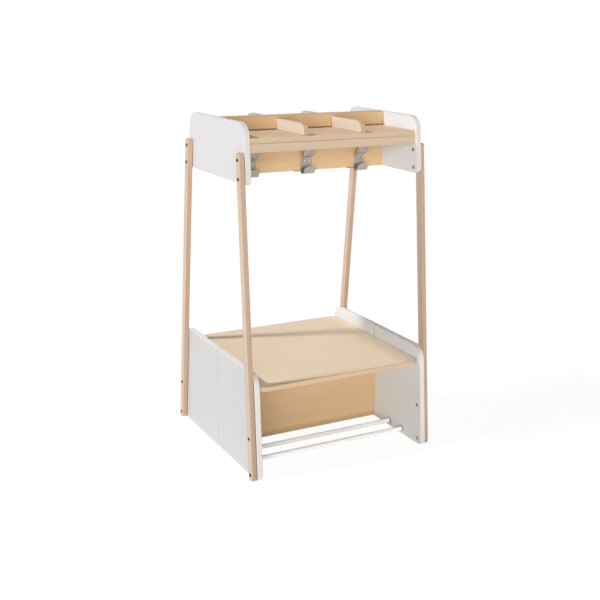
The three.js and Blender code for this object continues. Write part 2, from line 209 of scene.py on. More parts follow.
class Graph:
    """The node tree of a material or of the world, with short calls for the nodes in use here."""

    def __init__(self, owner: "bpy.types.Material | bpy.types.World") -> None:
        """Starts an empty tree that ends in the surface of its owner.

        Args:
            owner: the material or world.
        """
        owner.use_nodes = True
        self.tree = owner.node_tree
        self.tree.nodes.clear()
        output = self.tree.nodes.new(f"ShaderNodeOutput{type(owner).__name__}")
        self.surface = output.inputs["Surface"]

    def feed(self, socket: Socket, value: Feed) -> None:
        """Feeds an input.

        Args:
            socket: the input.
            value: an output to link to it, or a plain value.
        """
        if isinstance(value, Socket):
            self.tree.links.new(value, socket)
        else:
            socket.default_value = value

    def node(
        self, kind: str, inputs: dict[str | int, Feed], output: str | int = 0, **settings: object
    ) -> Socket:
        """Adds a node and feeds it.

        Args:
            kind: the node's type, after the words that all types start with.
            inputs: what goes into its inputs, by name or number.
            output: the output that is wanted.
            settings: the node's properties.

        Returns:
            The wanted output.
        """
        node = self.tree.nodes.new(f"ShaderNode{kind}")
        for name, value in settings.items():
            setattr(node, name, value)
        for key, value in inputs.items():
            self.feed(node.inputs[key], value)
        return node.outputs[output]

    def place(self) -> Socket:
        """Where the surface lies on its own piece."""
        return self.node("TexCoord", {}, "Object")

    def mark(self, name: str, output: str = "Fac") -> Socket:
        """Reads a mark that the maker left on the mesh."""
        return self.node("Attribute", {}, output, attribute_name=name)

    def parts(self, vector: Socket) -> tuple[Socket, ...]:
        """Splits a vector into its three parts."""
        return tuple(self.node("SeparateXYZ", {0: vector}).node.outputs)

    def noise(self, vector: Socket, pattern: Pattern) -> Socket:
        """Lays a noise over coordinates.

        Args:
            vector: the coordinates, in metres.
            pattern: which noise it is.

        Returns:
            The noise, about 0.5 in the middle.
        """
        clouds, detail, rough = pattern.value
        place = self.node("Mapping", {"Vector": vector, "Scale": clouds})
        inputs = {"Vector": place, "Scale": 1.0, "Detail": detail, "Roughness": rough}
        return self.node("TexNoise", inputs, "Fac")

    def math(self, operation: str, first: Feed, second: Feed = 0.0) -> Socket:
        """Does one step of arithmetic on two values, or on the first one alone."""
        return self.node("Math", {0: first, 1: second}, operation=operation)

    def times(self, *values: Feed) -> Socket:
        """Multiplies two or more values."""
        return reduce(lambda first, second: self.math("MULTIPLY", first, second), values)

    def above(self, value: Socket, level: float) -> Socket:
        """1 where a value is over a level and 0 elsewhere."""
        return self.math("GREATER_THAN", value, level)

    def below(self, value: Socket, level: float) -> Socket:
        """1 where a value is under a level and 0 elsewhere."""
        return self.math("LESS_THAN", value, level)

    def span(
        self, value: Socket, low: float, high: float, start: float = 0.0, stop: float = 1.0
    ) -> Socket:
        """Takes a value softly from one span to another and holds it at both ends.

        Args:
            value: what comes in.
            low: the value that gives start.
            high: the value that gives stop.
            start: the result at low.
            stop: the result at high.

        Returns:
            The result.
        """
        inputs = {"Value": value, "From Min": low, "From Max": high}
        inputs |= {"To Min": start, "To Max": stop}
        return self.node("MapRange", inputs, "Result", interpolation_type="SMOOTHSTEP")

    def fade(self, value: Socket, low: float, high: float) -> Socket:
        """1 up to a low value, 0 from a high one on, and soft between them."""
        return self.span(value, low, high, 1.0, 0.0)

    def ramp(self, value: Socket, stops: Sequence[tuple[float, Chip]]) -> Socket:
        """Colours a value.

        Args:
            value: from 0 to 1.
            stops: where each chip stands between 0 and 1, three or more of them.

        Returns:
            The colour.
        """
        colour = self.node("ValToRGB", {"Fac": value}, "Color")
        elements = colour.node.color_ramp.elements
        while len(elements) < len(stops):
            elements.new(0.5)
        for element, (position, chip) in zip(elements, stops):
            element.position = position
            element.color = linear(chip)
        return colour

    def mix(self, mode: str, share: Feed, below: Paint, above: Paint) -> Socket:
        """Mixes two paints.

        Args:
            mode: the way of mixing them.
            share: how much of the second one counts.
            below: the first paint.
            above: the second one.

        Returns:
            The mixed colour.
        """
        first, second = (p if isinstance(p, Socket) else linear(p) for p in (below, above))
        inputs = {"Factor": share, 6: first, 7: second}
        return self.node("Mix", inputs, 2, data_type="RGBA", blend_type=mode)

    def cover(self, share: Feed, below: Paint, above: Paint) -> Socket:
        """Covers a paint with another."""
        return self.mix("MIX", share, below, above)

    def stain(self, share: Feed, below: Paint, above: Paint) -> Socket:
        """Darkens a paint with another, as a glaze does."""
        return self.mix("MULTIPLY", share, below, above)

    def bump(
        self, height: Socket, distance: float, strength: float, over: Socket | None = None
    ) -> Socket:
        """Raises the surface.

        Args:
            height: the relief, from 0 to 1.
            distance: its height in metres.
            strength: how much of it shows.
            over: the normal of a relief below this one, or None for a flat ground.

        Returns:
            The bumped normal.
        """
        inputs = {"Height": height, "Distance": distance, "Strength": strength}
        ground = {} if over is None else {"Normal": over}
        return self.node("Bump", inputs | ground, "Normal")

    def backdrop(self) -> Socket:
        """Tells the rays that show the backdrop itself: seen, mirrored or through glass.

        Returns:
            1 for these and 0 for all others.
        """
        rays = self.node("LightPath", {}).node.outputs
        either = self.math("MAXIMUM", rays["Is Camera Ray"], rays["Is Glossy Ray"])
        return self.math("MAXIMUM", either, rays["Is Transmission Ray"])


@dataclass(frozen=True, kw_only=True)
class Finish:
    """What pieces are painted with. Each kind of finish says how its shader is fed.

    Args:
        name: the material's name.
        slot: the record's slot, or None for the one of that name. It is not used.
    """

    name: str
    slot: str | None = None

    @cache
    def material(self) -> bpy.types.Material:
        """Mixes the finish, the first time, and gives the same material from then on."""
        material = bpy.data.materials.new(self.name)
        g = Graph(material)
        g.feed(g.surface, g.node("BsdfPrincipled", self.paint(g), "BSDF"))
        return material

    def paint(self, g: Graph) -> dict[str, Feed]:
        """Builds the finish in a node tree.

        Args:
            g: the tree.

        Returns:
            What goes into the shader, by the name of the input.
        """
        raise NotImplementedError


@dataclass(frozen=True, kw_only=True)
class BeechFinish(Finish):
    """Beech under a thin matt lacquer: growth bands, fine pores and the short flecks of its rays.

    Args:
        light: the palest wood.
        middle: the wood between the bands.
        dark: the darkest band.
        fleck: the colour of the rays.
        narrow: what the narrow faces are darkened with: partly the other cut of the wood, partly
            painted shade.
        joint: what the wood is darkened with as painted shade, on a leg's inner arris and just over
            a shelf.
        figure: how strongly the pores and rays show.
        line: height of a shelf that meets this board with a soft shade over it, or None.
        above: where that shade starts to fade and where it ends, over the line.
        arris: where the shade on a leg's inner arris starts to fade and where it ends, from
            the panel outwards.
        shine: how much the lacquer mirrors.
        gloss: the roughness of the lacquer.
    """

    light: Chip
    middle: Chip
    dark: Chip
    fleck: Chip
    narrow: Chip = (237, 226, 218)
    joint: Chip = (166, 144, 127)
    figure: float = 1.0
    line: float | None = None
    above: Span = (0.003, 0.0065)
    arris: Span = (0.0008, 0.0024)
    shine: float = 0.22
    gloss: float = 0.5

    def paint(self, g: Graph) -> dict[str, Feed]:
        """Paints the wood along the grain that the maker marked on the mesh, with painted shade in
        its corners.

        Args:
            g: the tree.

        Returns:
            What goes into the shader.
        """
        grain, edge = g.mark("grain", "Vector"), g.mark("edge")
        sway = g.span(g.noise(grain, Pattern.WOOD_SWAY), 0.2, 0.8, -0.006, 0.006)
        shift = g.node("CombineXYZ", {"Y": sway})
        fibre = g.node("VectorMath", {0: grain, 1: shift}, operation="ADD")
        bands = g.noise(fibre, Pattern.WOOD_BANDS)
        cloud = g.noise(grain, Pattern.WOOD_CLOUDS)
        pores = g.noise(fibre, Pattern.WOOD_PORES)
        rays = g.span(g.noise(fibre, Pattern.WOOD_RAYS), 0.63, 0.71)

        wood = g.ramp(bands, ((0.3, self.dark), (0.5, self.middle), (0.7, self.light)))
        wood = g.cover(g.span(cloud, 0.35, 0.7, 0.0, 0.3), wood, self.light)
        wood = g.stain(g.span(pores, 0.52, 0.75, 0.0, 0.22 * self.figure), wood, self.dark)
        wood = g.cover(g.times(rays, 0.5 * self.figure), wood, self.fleck)
        # Narrow faces darker: partly the other cut of the wood, partly painted shade.
        wood = g.stain(g.fade(edge, 0.02, 0.12), wood, self.narrow)
        # Lighter wood along the rounded arrises: partly wear, partly a painted highlight.
        rim = g.times(g.span(edge, 0.0, 0.06), g.fade(edge, 0.12, 0.35))
        wood = g.cover(g.times(rim, g.span(cloud, 0.4, 0.6, 0.1, 0.4)), wood, self.light)
        x, _, z = g.parts(g.place())
        # Painted shade on a leg's inner arris, where it lies on a panel.
        wood = g.stain(self.contact(g, x, z), wood, self.joint)
        # Painted shade on the board just over the shelf.
        if self.line is not None:
            start, end = self.above
            near = g.fade(z, self.line + start, self.line + end)
            wood = g.stain(g.times(g.above(z, self.line), near), wood, self.joint)

        flow = g.noise(grain, Pattern.LACQUER_FLOW)
        relief = g.math("SUBTRACT", g.times(pores, -0.6), g.times(rays, 0.25))
        swell = g.bump(bands, 0.00012, 0.6)
        return {
            "Base Color": wood,
            "Roughness": g.span(flow, 0.3, 0.7, self.gloss - 0.05, self.gloss + 0.07),
            "IOR": 1.45,
            "Specular IOR Level": self.shine,
            "Normal": g.bump(relief, 0.00006, 0.7, swell),
        }

    def contact(self, g: Graph, x: Socket, z: Socket) -> Socket:
        """Finds the inner arris of a leg, where it lies on a panel and gets painted shade.

        Args:
            g: the tree.
            x: the place along the width of the bench.
            z: the height.

        Returns:
            1 there and 0 elsewhere.
        """
        wide = g.math("ABSOLUTE", x)
        start, end = self.arris
        near = g.fade(wide, LAYOUT.half_span + start, LAYOUT.half_span + end)
        round_off = 0.028  # so far under the side panel's top its round leaves the leg
        low, high = g.below(z, LAYOUT.side_height - round_off), g.above(z, LAYOUT.end_foot)
        return g.times(near, g.above(wide, LAYOUT.half_span), g.math("MAXIMUM", low, high))


@dataclass(frozen=True, kw_only=True)
class LaminateFinish(Finish):
    """White laminated board with a pore-fine face and a lipping glued round its edge.

    Args:
        face: the colour of the outer faces.
        worn: painted shade: what these are darkened with on the side panels, near the floor.
        inner: the colour of the inner faces, painted lighter than the outer ones as painted light.
        lipping: the colour of the edge strip.
        high: painted shade: what the strip of the end panels is darkened with.
        crown: painted light: the lighter colour of the strip on top of the side panels.
        glue: the colour of the hairline between the two.
        dust: the colour of handling marks.
        core: painted shade: the colour inside a seam, where hardly any light falls, and beside a
            leg.
        crown_depth: how far the painted light on top of the side panels reaches down.
        shade: how dark the outer face is right beside a leg.
        beside: where that shade starts and where it is full, out from the leg.
        skin: how deep in from the outer face it reaches.
        covered: how far it goes on under the leg.
        rounded: how far below the leg's top it ends, where the leg is rounded.
        kicked: up to which height shoes leave scuffs.
    """

    face: Chip
    worn: Chip
    inner: Chip
    lipping: Chip
    high: Chip
    crown: Chip
    glue: Chip
    dust: Chip
    core: Chip = (150, 145, 141)
    crown_depth: float = 0.0012
    shade: float = 0.42
    beside: Span = (0.0042, 0.0008)
    skin: float = 0.0006
    covered: float = 0.02
    rounded: float = 0.006
    kicked: float = 0.09

    def paint(self, g: Graph) -> dict[str, Feed]:
        """Paints face, lipping, glue line, painted shade and light, and the faint marks of use.

        Args:
            g: the tree.

        Returns:
            What goes into the shader.
        """
        place, edge = g.place(), g.mark("edge")
        x, y, z = g.parts(place)
        wide, deep = g.math("ABSOLUTE", x), g.math("ABSOLUTE", y)
        between = (LAYOUT.side_height + LAYOUT.end_foot) / 2
        low, high = g.below(z, between), g.above(z, between)

        # Painted shade and light: the side panels' outer faces darker than the end panels', all
        # inner faces lighter.
        inner = g.below(wide, LAYOUT.half_span - LAYOUT.panel / 2)
        face = g.cover(inner, g.stain(low, self.face, self.worn), self.inner)
        marks = g.span(g.noise(place, Pattern.BOARD_CLOUDS), 0.35, 0.55, 0.06, 0.0)
        face = g.cover(marks, face, self.dust)
        # Painted light: a lighter strip on top of the side panels.
        crown = g.times(low, g.above(z, LAYOUT.side_height - self.crown_depth))
        # Painted shade: the end panels' strip is darker than the side panels'.
        strip = g.cover(crown, g.stain(high, self.lipping, self.high), self.crown)
        paint = g.cover(g.span(edge, 0.0, 0.06), strip, face)
        line = g.times(g.span(edge, 0.05, 0.09), g.fade(edge, 0.13, 0.2), 0.35)
        paint = g.cover(line, paint, self.glue)
        # Painted shade inside the seams and on the outer face beside each leg.
        paint = g.cover(g.fade(edge, -0.8, -0.1), paint, self.core)
        paint = g.stain(self.beside_leg(g, wide, deep, z), paint, self.core)
        scuffs = g.span(g.noise(place, Pattern.BOARD_SCUFFS), 0.56, 0.72, 0.0, 0.5)
        paint = g.cover(g.times(g.fade(z, 0.0, self.kicked), scuffs), paint, self.dust)
        sheen = g.noise(place, Pattern.BOARD_SHEEN)
        return {
            "Base Color": paint,
            "Roughness": g.span(sheen, 0.3, 0.7, 0.36, 0.46),
            "IOR": 1.45,
            "Specular IOR Level": 0.3,
            "Normal": g.bump(g.noise(place, Pattern.BOARD_PRINT), 0.00004, 0.5),
        }

    def beside_leg(self, g: Graph, wide: Socket, deep: Socket, z: Socket) -> Socket:
        """Shades the outer face in front of a leg, where the leg keeps the light off.

        Args:
            g: the tree.
            wide: from the middle of the bench along its width.
            deep: from the middle along its depth.
            z: the height.

        Returns:
            How much shade there is.
        """
        slant = g.math("SUBTRACT", LAYOUT.half_depth, g.times(z, LAYOUT.slope))
        inward = g.math("SUBTRACT", slant, deep)
        start, full = (LAYOUT.leg_setback - out for out in self.beside)
        near = g.span(inward, start, full, 0.0, self.shade)
        outer = g.above(wide, LAYOUT.half_span - self.skin)
        covered = g.below(inward, LAYOUT.leg_setback + self.covered)
        level = g.below(z, LAYOUT.leg_top - self.rounded)
        return g.times(near, outer, covered, level)


@dataclass(frozen=True, kw_only=True)
class CoatedSteelFinish(Finish):
    """Steel under a thin grey coat, with the fine grain of the powder and paler rubbed spots.

    Args:
        coat: the colour of the coat.
        rubbed: the colour where hands and loops polish it.
        crease: painted shade: what it is darkened with inside the lower bend.
        metal: how metallic it looks.
        gloss: its roughness.
        depth: from the middle of the bench, where the painted shade in the bend starts to fade and
            where it ends.
        height: where it starts to fade upwards and where it ends.
    """

    coat: Chip
    rubbed: Chip
    crease: Chip
    metal: float = 0.2
    gloss: float = 0.45
    depth: Span = (0.026, 0.034)
    height: Span = (1.004, 1.022)

    def paint(self, g: Graph) -> dict[str, Feed]:
        """Paints the coat, with painted shade inside the lower bend.

        Args:
            g: the tree.

        Returns:
            What goes into the shader.
        """
        place = g.place()
        specks, cloud = g.noise(place, Pattern.COAT_SPECKS), g.noise(place, Pattern.COAT_CLOUDS)
        paint = g.cover(g.span(cloud, 0.4, 0.75, 0.0, 0.6), self.coat, self.rubbed)
        paint = g.cover(g.span(specks, 0.45, 0.7, 0.0, 0.25), paint, self.rubbed)
        # Painted shade inside the lower bend.
        _, y, z = g.parts(place)
        deep, low = g.fade(g.math("ABSOLUTE", y), *self.depth), g.fade(z, *self.height)
        return {
            "Base Color": g.stain(g.times(deep, low), paint, self.crease),
            "Metallic": self.metal,
            "Roughness": g.span(cloud, 0.3, 0.7, self.gloss + 0.05, self.gloss - 0.07),
            "Specular IOR Level": 0.3,
            "Normal": g.bump(specks, 0.00003, 0.5),
        }


@dataclass(frozen=True, kw_only=True)
class PlatedFinish(Finish):
    """Plated or blackened steel of a fastener, with faint turning marks.

    Args:
        plate: its colour.
        worn: its colour where a tool rubbed it.
        metal: how metallic it looks.
        gloss: its roughness.
        ring: the colour of the painted shade on the rim round a head's middle, or None for an even
            one.
    """

    plate: Chip
    worn: Chip
    metal: float
    gloss: float
    ring: Chip | None = None

    def paint(self, g: Graph) -> dict[str, Feed]:
        """Paints the plating.

        Args:
            g: the tree.

        Returns:
            What goes into the shader.
        """
        place = g.place()
        marks, cloud = g.noise(place, Pattern.PLATE_MARKS), g.noise(place, Pattern.PLATE_CLOUDS)
        paint = g.cover(g.span(cloud, 0.45, 0.75, 0.0, 0.7), self.plate, self.worn)
        # Painted shade on the rim of a screw head.
        if self.ring is not None:
            paint = g.cover(g.fade(g.mark("edge"), 0.25, 0.75), paint, self.ring)
        return {
            "Base Color": paint,
            "Metallic": self.metal,
            "Roughness": g.span(marks, 0.3, 0.7, self.gloss - 0.06, self.gloss + 0.1),
            "Normal": g.bump(marks, 0.00002, 0.4),
        }


@dataclass(frozen=True, kw_only=True)
class EnamelFinish(Finish):
    """White stove enamel on a tube: a hard gloss with a soft ripple and a few shoe scuffs.

    Args:
        enamel: its colour.
        scuff: the colour of the scuffs.
        collar: the colour of the plastic collar, marked 0.5.
        groove: the colour of the painted shade in the groove behind it, marked 1.
    """

    enamel: Chip
    scuff: Chip
    collar: Chip
    groove: Chip

    def paint(self, g: Graph) -> dict[str, Feed]:
        """Paints the enamel.

        Args:
            g: the tree.

        Returns:
            What goes into the shader.
        """
        place, edge = g.place(), g.mark("edge")
        scuffs = g.span(g.noise(place, Pattern.ENAMEL_SCUFFS), 0.6, 0.74, 0.0, 0.22)
        paint = g.cover(scuffs, self.enamel, self.scuff)
        paint = g.cover(g.span(edge, 0.1, 0.4), paint, self.collar)
        return {
            # Painted shade in the groove between collar and panel.
            "Base Color": g.cover(g.span(edge, 0.6, 0.9), paint, self.groove),
            "Roughness": g.span(scuffs, 0.0, 0.2, 0.4, 0.55),
            "IOR": 1.45,
            "Specular IOR Level": 0.35,
            "Coat Weight": 0.06,
            "Coat Roughness": 0.2,
            "Normal": g.bump(g.noise(place, Pattern.ENAMEL_RIPPLE), 0.00006, 0.35),
        }


# The lower side panels, the inner faces and the two lipping strips of the white panels carry
# painted shade and light.
WHITE = LaminateFinish(
    name="white_panel",
    face=(203, 201, 202),
    worn=(241, 242, 240),
    inner=(219, 221, 222),
    lipping=(219, 213, 206),
    high=(237, 236, 236),
    crown=(234, 229, 228),
    glue=(176, 173, 169),
    dust=(203, 200, 197),
)
SEAT = BeechFinish(
    name="seat_veneer",
    light=(238, 217, 190),
    middle=(237, 215, 188),
    dark=(234, 211, 183),
    fleck=(185, 152, 115),
    narrow=(220, 210, 199),
    figure=0.35,
)
BOARD = BeechFinish(
    name="board_veneer",
    light=(202, 171, 134),
    middle=(199, 168, 130),
    dark=(195, 163, 124),
    fleck=(148, 109, 72),
    # painted shade over the shelf
    joint=(176, 154, 134),
    figure=0.6,
    line=1.150,
)
SHELF = BeechFinish(
    name="shelf_veneer",
    light=(223, 199, 170),
    middle=(219, 192, 162),
    dark=(212, 185, 151),
    fleck=(166, 131, 93),
    narrow=(222, 223, 221),
    shine=0.04,
)
EDGE = BeechFinish(
    name="edge_rail_beech",
    slot="shelf_veneer",
    light=(196, 175, 152),
    middle=(192, 170, 145),
    dark=(186, 162, 134),
    fleck=(147, 116, 82),
)
DIVIDER = BeechFinish(
    name="divider_beech",
    slot="shelf_veneer",
    light=(214, 203, 184),
    middle=(209, 195, 177),
    dark=(201, 187, 165),
    fleck=(160, 131, 103),
    narrow=(224, 202, 182),
)
LEG = BeechFinish(
    name="leg_beech",
    light=(201, 182, 163),
    middle=(197, 177, 157),
    dark=(190, 169, 146),
    fleck=(154, 123, 92),
    narrow=(238, 225, 218),
)
HOOK = CoatedSteelFinish(
    name="hook_steel",
    coat=(158, 150, 142),
    rubbed=(190, 182, 173),
    crease=(184, 176, 168),
)
BOLT = PlatedFinish(
    name="bolt_dark",
    plate=(44, 40, 38),
    worn=(92, 86, 80),
    metal=0.85,
    gloss=0.34,
)
CAP = PlatedFinish(
    name="bolt_cap",
    slot="bolt_dark",
    plate=(146, 139, 131),
    worn=(178, 171, 163),
    metal=0.6,
    gloss=0.42,
)
SCREW = PlatedFinish(
    name="screw_zinc",
    plate=(214, 212, 208),
    worn=(236, 234, 230),
    metal=0.9,
    gloss=0.3,
    ring=(58, 55, 54),
)
RAIL = EnamelFinish(
    name="rail_enamel",
    enamel=(248, 249, 249),
    scuff=(174, 170, 165),
    collar=(210, 206, 198),
    groove=(62, 57, 52),
)


class Workpiece:
    """A piece on the work table: shaped with edit-mode tools, then copied to where it belongs."""

    table: list["Workpiece"] = []
    count: int = 0

    def __init__(self, obj: bpy.types.Object) -> None:
        """Takes an object that was just added or copied."""
        self.object = obj

    @classmethod
    def added(
        cls, primitive: Callable, scale: Sequence[float] = (1, 1, 1), **settings: object
    ) -> "Workpiece":
        """Adds a primitive and puts its pose into its mesh.

        Args:
            primitive: the operator that adds it.
            scale: its size along each axis.
            settings: the operator's own settings.

        Returns:
            The piece, ready to be shaped.
        """
        bpy.ops.object.select_all(action="DESELECT")
        primitive(**settings)
        piece = cls(bpy.context.object)
        piece.object.scale = scale
        piece.settle()
        cls.table.append(piece)
        return piece

    @classmethod
    def clear_table(cls) -> None:
        """Throws away what was only there to be copied or to cut others."""
        for piece in cls.table:
            bpy.data.objects.remove(piece.object, do_unlink=True)
        cls.table.clear()

    @classmethod
    def block(cls, low: Sequence[float], high: Sequence[float]) -> "Workpiece":
        """Saws a square block.

        Args:
            low: its lowest corner.
            high: its highest corner.

        Returns:
            The block, ready to be shaped.
        """
        low, high = Vector(low), Vector(high)
        cube = bpy.ops.mesh.primitive_cube_add
        return cls.added(cube, high - low, size=1, location=(low + high) / 2)

    @classmethod
    def turned(cls, profile: Profile, sides: int) -> "Workpiece":
        """Turns a piece on the Z axis, from its lowest ring to its highest.

        Args:
            profile: radius and height of each ring.
            sides: how many faces it has round its axis.

        Returns:
            The turned piece.
        """
        radius, height = profile[0]
        piece = cls.added(
            bpy.ops.mesh.primitive_circle_add,
            vertices=sides,
            radius=radius,
            fill_type="NGON",
            location=(0, 0, height),
        )
        with piece.shaping():
            bpy.ops.mesh.select_all(action="SELECT")
            for wider, higher in profile[1:]:
                move = {"value": (0, 0, higher - height)}
                bpy.ops.mesh.extrude_region_move(TRANSFORM_OT_translate=move)
                grow = wider / radius
                bpy.ops.transform.resize(value=(grow, grow, 1), center_override=(0, 0, higher))
                radius, height = wider, higher
            bpy.ops.mesh.select_all(action="SELECT")
            bpy.ops.mesh.normals_make_consistent(inside=False)
        return piece

    @classmethod
    def bent_strip(cls, path: Sequence[Vector], width: float, tips: float) -> "Workpiece":
        """Bends a flat strip along a path in the YZ plane, drawn in to a narrow tip at both ends.

        Args:
            path: the strip's middle line, its first and last step being the tips.
            width: of the strip, along X.
            tips: width of the two ends.

        Returns:
            The strip as a sheet without thickness.
        """
        first = path[1] - path[0]
        piece = cls.added(
            bpy.ops.mesh.primitive_plane_add,
            (width, first.length, 1),
            size=1,
            location=(path[0] + path[1]) / 2,
            rotation=(math.atan2(first.z, first.y), 0, 0),
        )
        narrow = (tips / width, 1, 1)

        def at(point: Vector, vertex: bmesh.types.BMVert) -> bool:
            """Whether a vertex lies at a point of the path, to its left or right."""
            return (vertex.co.yz - point.yz).length < NEAR

        with piece.shaping():
            piece.pick(Element.VERT, lambda v: at(path[0], v))
            bpy.ops.transform.resize(value=narrow, center_override=path[0])
            piece.pick(Element.EDGE, lambda e: all(at(path[1], v) for v in e.verts))
            for here, there in zip(path[1:], path[2:]):
                bpy.ops.mesh.extrude_region_move(TRANSFORM_OT_translate={"value": there - here})
            bpy.ops.transform.resize(value=narrow, center_override=path[-1])
        return piece

    def take(self) -> None:
        """Selects this piece alone and makes it the active one."""
        bpy.ops.object.select_all(action="DESELECT")
        self.object.select_set(True)
        bpy.context.view_layer.objects.active = self.object

    @contextmanager
    def shaping(self) -> Iterator[bmesh.types.BMesh]:
        """Opens this piece alone in edit mode, with nothing selected, and closes it again."""
        self.take()
        bpy.ops.object.mode_set(mode="EDIT")
        bpy.ops.mesh.select_all(action="DESELECT")
        yield bmesh.from_edit_mesh(self.object.data)
        bpy.ops.object.mode_set(mode="OBJECT")

    def pick(self, kind: Element, rule: Rule) -> None:
        """Selects the elements of a kind that a rule holds for, and nothing else.

        Args:
            kind: vertices, edges or faces.
            rule: says whether one of them is meant.
        """
        bpy.ops.mesh.select_mode(type=kind.name)
        bpy.ops.mesh.select_all(action="DESELECT")
        mesh = bmesh.from_edit_mesh(self.object.data)
        for part in getattr(mesh, kind.value):
            if rule(part):
                part.select_set(True)
        bmesh.update_edit_mesh(self.object.data)

    def slide(self, rule: Rule, by: Sequence[float]) -> None:
        """Moves some vertices.

        Args:
            rule: says whether one of them is meant.
            by: how far they go along each axis.
        """
        with self.shaping():
            self.pick(Element.VERT, rule)
            bpy.ops.transform.translate(value=by)

    def round_corners(self, along: Axis, corners: Profile, radius: float, steps: int) -> None:
        """Rounds the edges that run along an axis through the given corners.

        Args:
            along: the axis.
            corners: each corner's two other coordinates, in the order of the axes.
            radius: of the round.
            steps: faces in each round.
        """
        across = [i for i in range(3) if along.value[i] == 0]

        def meant(edge: bmesh.types.BMEdge) -> bool:
            """Tells whether an edge runs along the axis through one of the corners.

            Args:
                edge: the edge.

            Returns:
                Whether it does.
            """
            start, stop = (v.co for v in edge.verts)
            middle = (start + stop) / 2
            spot = Vector([middle[i] for i in across])
            level = abs((stop - start).normalized().dot(along.value)) > ALIGNED
            return level and any((spot - Vector(corner)).length < NEAR for corner in corners)

        with self.shaping() as mesh:
            self.pick(Element.EDGE, meant)
            angle = next(e.calc_face_angle() for e in mesh.edges if e.select)
            reach = radius * math.tan(angle / 2)
            bpy.ops.mesh.bevel(offset=reach, segments=steps, affect="EDGES", clamp_overlap=False)

    def ease(self, radius: float, steps: int = 3) -> "Workpiece":
        """Takes the sharpness off every edge.

        Args:
            radius: of the eased edge.
            steps: faces across it.

        Returns:
            The piece itself.
        """
        with self.shaping():
            self.pick(Element.EDGE, lambda e: e.is_manifold and e.calc_face_angle() > EASED)
            bpy.ops.mesh.bevel(offset=radius, segments=steps, affect="EDGES", clamp_overlap=True)
        return self

    def marks(self, name: str, kind: str = "FLOAT") -> bpy.types.bpy_prop_collection:
        """Finds the marks of a name, or adds them where there are none yet.

        Args:
            name: of the marks.
            kind: the type of their values.

        Returns:
            One mark for each vertex.
        """
        attributes = self.object.data.attributes
        if name not in attributes:
            attributes.new(name, kind, "POINT")
        return attributes[name].data

    def mark(self, value: Callable[[bpy.types.MeshVertex, float], float]) -> "Workpiece":
        """Gives every vertex an edge mark.

        Args:
            value: works out a vertex's mark, from the vertex and the mark that it has.

        Returns:
            The piece itself.
        """
        for vertex, own in zip(self.object.data.vertices, self.marks("edge")):
            own.value = value(vertex, own.value)
        return self

    def mark_edges(self, facing: Axis, band: float = 0.003) -> "Workpiece":
        """Marks the two broad faces: 0 at their rim and on the narrow faces, 1 from a band inwards.

        Args:
            facing: the axis that the broad faces look along.
            band: width of the band.

        Returns:
            The piece itself.
        """
        with self.shaping() as mesh:
            level = [f for f in mesh.faces if abs(f.normal.dot(facing.value)) > ALIGNED]
            areas = {f.index: f.calc_area() for f in level}
            least = BROAD * max(areas.values())
            self.pick(Element.FACE, lambda f: areas.get(f.index, 0.0) > least)
            bpy.ops.mesh.inset(thickness=band, use_even_offset=True)
        return self.mark(lambda vertex, _: float(vertex.select))

    def mark_grain(self, along: Axis, across: Axis, stock: Stock, number: int = 0) -> None:
        """Marks each vertex with its place in the wood, so that the figure follows the piece.

        Args:
            along: the axis that the fibres follow.
            across: the axis over the width of the board.
            stock: the boards that it is cut from.
            number: which board of these.
        """
        turn = Matrix((along.value, across.value, along.value.cross(across.value)))
        start = Vector((1.73, 0.91, 0.37)) * (stock.value + number)
        for vertex, own in zip(self.object.data.vertices, self.marks("grain", "FLOAT_VECTOR")):
            own.vector = turn @ vertex.co + start

    def modify(self, kind: str, **settings: object) -> None:
        """Adds a modifier and applies it at once.

        Args:
            kind: the modifier's type.
            settings: its properties.
        """
        self.take()
        bpy.ops.object.modifier_add(type=kind)
        modifier = self.object.modifiers[-1]
        for name, value in settings.items():
            setattr(modifier, name, value)
        bpy.ops.object.modifier_apply(modifier=modifier.name)

    def cut(self, tool: "Workpiece") -> None:
        """Cuts another piece out of this one."""
        self.modify("BOOLEAN", operation="DIFFERENCE", object=tool.object, solver="EXACT")

    def smooth(self, angle: float) -> None:
        """Shades the rounds smoothly and keeps the flat faces flat.

        Args:
            angle: the widest angle, in degrees, that is shaded smoothly.
        """
        self.take()
        bpy.ops.object.shade_smooth_by_angle(angle=math.radians(angle))
        self.modify("WEIGHTED_NORMAL", weight=100, keep_sharp=True)

    def settle(self) -> None:
        """Puts the pose into the mesh, so that the object itself stands at the origin."""
        self.take()
        bpy.ops.object.transform_apply(location=True, rotation=True, scale=True)

    def place(
        self,
        name: str,
        finish: Finish,
        pose: Matrix = Matrix.Identity(4),
        angle: float = 40.0,
        nodes: Sequence[str] | None = None,
    ) -> None:
        """Sets a copy in its pose, smooths and dresses it, and lets it stand for its CAD node.

        Args:
            name: the copy's name.
            finish: what it is painted with.
            pose: where it stands.
            angle: the widest angle, in degrees, that is shaded smoothly.
            nodes: the nodes that it stands for, or None for the one of its own name.
        """
        obj = self.object.copy()
        obj.data = obj.data.copy()
        obj.name = name
        bpy.context.collection.objects.link(obj)
        obj.matrix_world = pose
        twin = Workpiece(obj)
        twin.settle()
        twin.smooth(angle)
        obj.data.materials.clear()
        obj.data.materials.append(finish.material())
        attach(obj, "root")
        finish.slot or finish.name
        for node in [name] if nodes is None else nodes:
            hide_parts(node)
            log.info("%s reaches %.1f mm past the box of %s", name, twin.past(node) * 1000, node)
        log.info("%s: %d faces", name, len(obj.data.polygons))
        Workpiece.count += 1

    def past(self, node: str) -> float:
        """Measures the piece against a CAD node.

        Args:
            node: the node's name.

        Returns:
            How far the piece reaches past the node's box.
        """
        low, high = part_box(node)
        corners = [Vector(corner) for corner in self.object.bound_box]
        return max(max(*(low - corner), *(corner - high)) for corner in corners)


